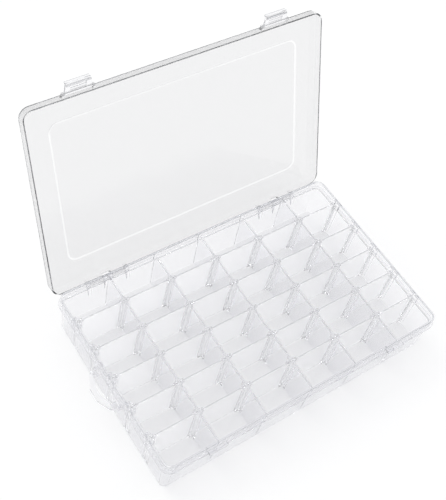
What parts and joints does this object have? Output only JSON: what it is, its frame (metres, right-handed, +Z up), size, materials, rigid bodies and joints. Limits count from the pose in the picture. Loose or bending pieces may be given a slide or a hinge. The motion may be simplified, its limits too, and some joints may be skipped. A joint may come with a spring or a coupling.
{
  "type": "compartment storage box",
  "caption": "Flat clear plastic storage box with a hinged lid, snap latches, lift-out dividers in a grid of slots, and a hanging tab; holds beads and small parts.",
  "frame": {"origin": "middle of the tray's flat underside, on the surface it rests on", "axes": "+X along the box's long side and the lid's hinge, to the right seen from the front; +Y to the hinge side; +Z up"},
  "size_m": [0.2862, 0.241, 0.2069],
  "materials": {
    "tray_plastic": "clear, glossy, moulded polypropylene or polystyrene",
    "lid_plastic": "clear, glossy, with a faintly hazy panel",
    "latch_plastic": "clear, glossy",
    "divider_plastic": "clear, glossy"
  },
  "bodies": {
    "tray": {"tray": "tray_plastic"},
    "lid": {"lid": "lid_plastic"},
    "latch_left": {"latch_left": "latch_plastic"},
    "latch_right": {"latch_right": "latch_plastic"},
    "hanging_tab": {"hanging_tab": "tray_plastic"},
    "divider_a1": {"divider_a1": "divider_plastic"},
    "divider_a2": {"divider_a2": "divider_plastic"},
    "divider_a3": {"divider_a3": "divider_plastic"},
    "divider_a4": {"divider_a4": "divider_plastic"},
    "divider_a5": {"divider_a5": "divider_plastic"},
    "divider_b1": {"divider_b1": "divider_plastic"},
    "divider_b2": {"divider_b2": "divider_plastic"},
    "divider_b3": {"divider_b3": "divider_plastic"},
    "divider_b4": {"divider_b4": "divider_plastic"},
    "divider_b5": {"divider_b5": "divider_plastic"},
    "divider_c1": {"divider_c1": "divider_plastic"},
    "divider_c2": {"divider_c2": "divider_plastic"},
    "divider_c3": {"divider_c3": "divider_plastic"},
    "divider_c4": {"divider_c4": "divider_plastic"},
    "divider_c5": {"divider_c5": "divider_plastic"},
    "divider_d1": {"divider_d1": "divider_plastic"},
    "divider_d2": {"divider_d2": "divider_plastic"},
    "divider_d3": {"divider_d3": "divider_plastic"},
    "divider_d4": {"divider_d4": "divider_plastic"},
    "divider_d5": {"divider_d5": "divider_plastic"},
    "divider_e1": {"divider_e1": "divider_plastic"},
    "divider_e2": {"divider_e2": "divider_plastic"},
    "divider_e3": {"divider_e3": "divider_plastic"},
    "divider_e4": {"divider_e4": "divider_plastic"},
    "divider_e5": {"divider_e5": "divider_plastic"},
    "divider_f1": {"divider_f1": "divider_plastic"},
    "divider_f2": {"divider_f2": "divider_plastic"},
    "divider_f3": {"divider_f3": "divider_plastic"},
    "divider_f4": {"divider_f4": "divider_plastic"},
    "divider_f5": {"divider_f5": "divider_plastic"}
  },
  "joints": [
    {"name": "lid_hinge", "type": "hinge", "parent": "tray", "child": "lid", "pos_m": [0, 0.08648, 0.0349], "axis": [-1, 0, 0], "range_deg": [-110, 0]},
    {"name": "latch_left_hinge", "type": "hinge", "parent": "lid", "child": "latch_left", "pos_m": [-0.09, 0.1502, 0.19739], "axis": [-1, 0, 0], "range_deg": [-78, 0]},
    {"name": "latch_right_hinge", "type": "hinge", "parent": "lid", "child": "latch_right", "pos_m": [0.09, 0.1502, 0.19739], "axis": [-1, 0, 0], "range_deg": [-78, 0]},
    {"name": "tab_hinge", "type": "hinge", "parent": "tray", "child": "hanging_tab", "pos_m": [-0.13669, 0, 0.028], "axis": [0, 1, 0], "range_deg": [-90, 0]},
    {"name": "divider_a1_lift", "type": "slide", "parent": "tray", "child": "divider_a1", "axis": [0, 0, 1], "range_m": [0, 0.045]},
    {"name": "divider_a2_lift", "type": "slide", "parent": "tray", "child": "divider_a2", "axis": [0, 0, 1], "range_m": [0, 0.045]},
    {"name": "divider_a3_lift", "type": "slide", "parent": "tray", "child": "divider_a3", "axis": [0, 0, 1], "range_m": [0, 0.045]},
    {"name": "divider_a4_lift", "type": "slide", "parent": "tray", "child": "divider_a4", "axis": [0, 0, 1], "range_m": [0, 0.045]},
    {"name": "divider_a5_lift", "type": "slide", "parent": "tray", "child": "divider_a5", "axis": [0, 0, 1], "range_m": [0, 0.045]},
    {"name": "divider_b1_lift", "type": "slide", "parent": "tray", "child": "divider_b1", "axis": [0, 0, 1], "range_m": [0, 0.045]},
    {"name": "divider_b2_lift", "type": "slide", "parent": "tray", "child": "divider_b2", "axis": [0, 0, 1], "range_m": [0, 0.045]},
    {"name": "divider_b3_lift", "type": "slide", "parent": "tray", "child": "divider_b3", "axis": [0, 0, 1], "range_m": [0, 0.045]},
    {"name": "divider_b4_lift", "type": "slide", "parent": "tray", "child": "divider_b4", "axis": [0, 0, 1], "range_m": [0, 0.045]},
    {"name": "divider_b5_lift", "type": "slide", "parent": "tray", "child": "divider_b5", "axis": [0, 0, 1], "range_m": [0, 0.045]},
    {"name": "divider_c1_lift", "type": "slide", "parent": "tray", "child": "divider_c1", "axis": [0, 0, 1], "range_m": [0, 0.045]},
    {"name": "divider_c2_lift", "type": "slide", "parent": "tray", "child": "divider_c2", "axis": [0, 0, 1], "range_m": [0, 0.045]},
    {"name": "divider_c3_lift", "type": "slide", "parent": "tray", "child": "divider_c3", "axis": [0, 0, 1], "range_m": [0, 0.045]},
    {"name": "divider_c4_lift", "type": "slide", "parent": "tray", "child": "divider_c4", "axis": [0, 0, 1], "range_m": [0, 0.045]},
    {"name": "divider_c5_lift", "type": "slide", "parent": "tray", "child": "divider_c5", "axis": [0, 0, 1], "range_m": [0, 0.045]},
    {"name": "divider_d1_lift", "type": "slide", "parent": "tray", "child": "divider_d1", "axis": [0, 0, 1], "range_m": [0, 0.045]},
    {"name": "divider_d2_lift", "type": "slide", "parent": "tray", "child": "divider_d2", "axis": [0, 0, 1], "range_m": [0, 0.045]},
    {"name": "divider_d3_lift", "type": "slide", "parent": "tray", "child": "divider_d3", "axis": [0, 0, 1], "range_m": [0, 0.045]},
    {"name": "divider_d4_lift", "type": "slide", "parent": "tray", "child": "divider_d4", "axis": [0, 0, 1], "range_m": [0, 0.045]},
    {"name": "divider_d5_lift", "type": "slide", "parent": "tray", "child": "divider_d5", "axis": [0, 0, 1], "range_m": [0, 0.045]},
    {"name": "divider_e1_lift", "type": "slide", "parent": "tray", "child": "divider_e1", "axis": [0, 0, 1], "range_m": [0, 0.045]},
    {"name": "divider_e2_lift", "type": "slide", "parent": "tray", "child": "divider_e2", "axis": [0, 0, 1], "range_m": [0, 0.045]},
    {"name": "divider_e3_lift", "type": "slide", "parent": "tray", "child": "divider_e3", "axis": [0, 0, 1], "range_m": [0, 0.045]},
    {"name": "divider_e4_lift", "type": "slide", "parent": "tray", "child": "divider_e4", "axis": [0, 0, 1], "range_m": [0, 0.045]},
    {"name": "divider_e5_lift", "type": "slide", "parent": "tray", "child": "divider_e5", "axis": [0, 0, 1], "range_m": [0, 0.045]},
    {"name": "divider_f1_lift", "type": "slide", "parent": "tray", "child": "divider_f1", "axis": [0, 0, 1], "range_m": [0, 0.045]},
    {"name": "divider_f2_lift", "type": "slide", "parent": "tray", "child": "divider_f2", "axis": [0, 0, 1], "range_m": [0, 0.045]},
    {"name": "divider_f3_lift", "type": "slide", "parent": "tray", "child": "divider_f3", "axis": [0, 0, 1], "range_m": [0, 0.045]},
    {"name": "divider_f4_lift", "type": "slide", "parent": "tray", "child": "divider_f4", "axis": [0, 0, 1], "range_m": [0, 0.045]},
    {"name": "divider_f5_lift", "type": "slide", "parent": "tray", "child": "divider_f5", "axis": [0, 0, 1], "range_m": [0, 0.045]}
  ]
}
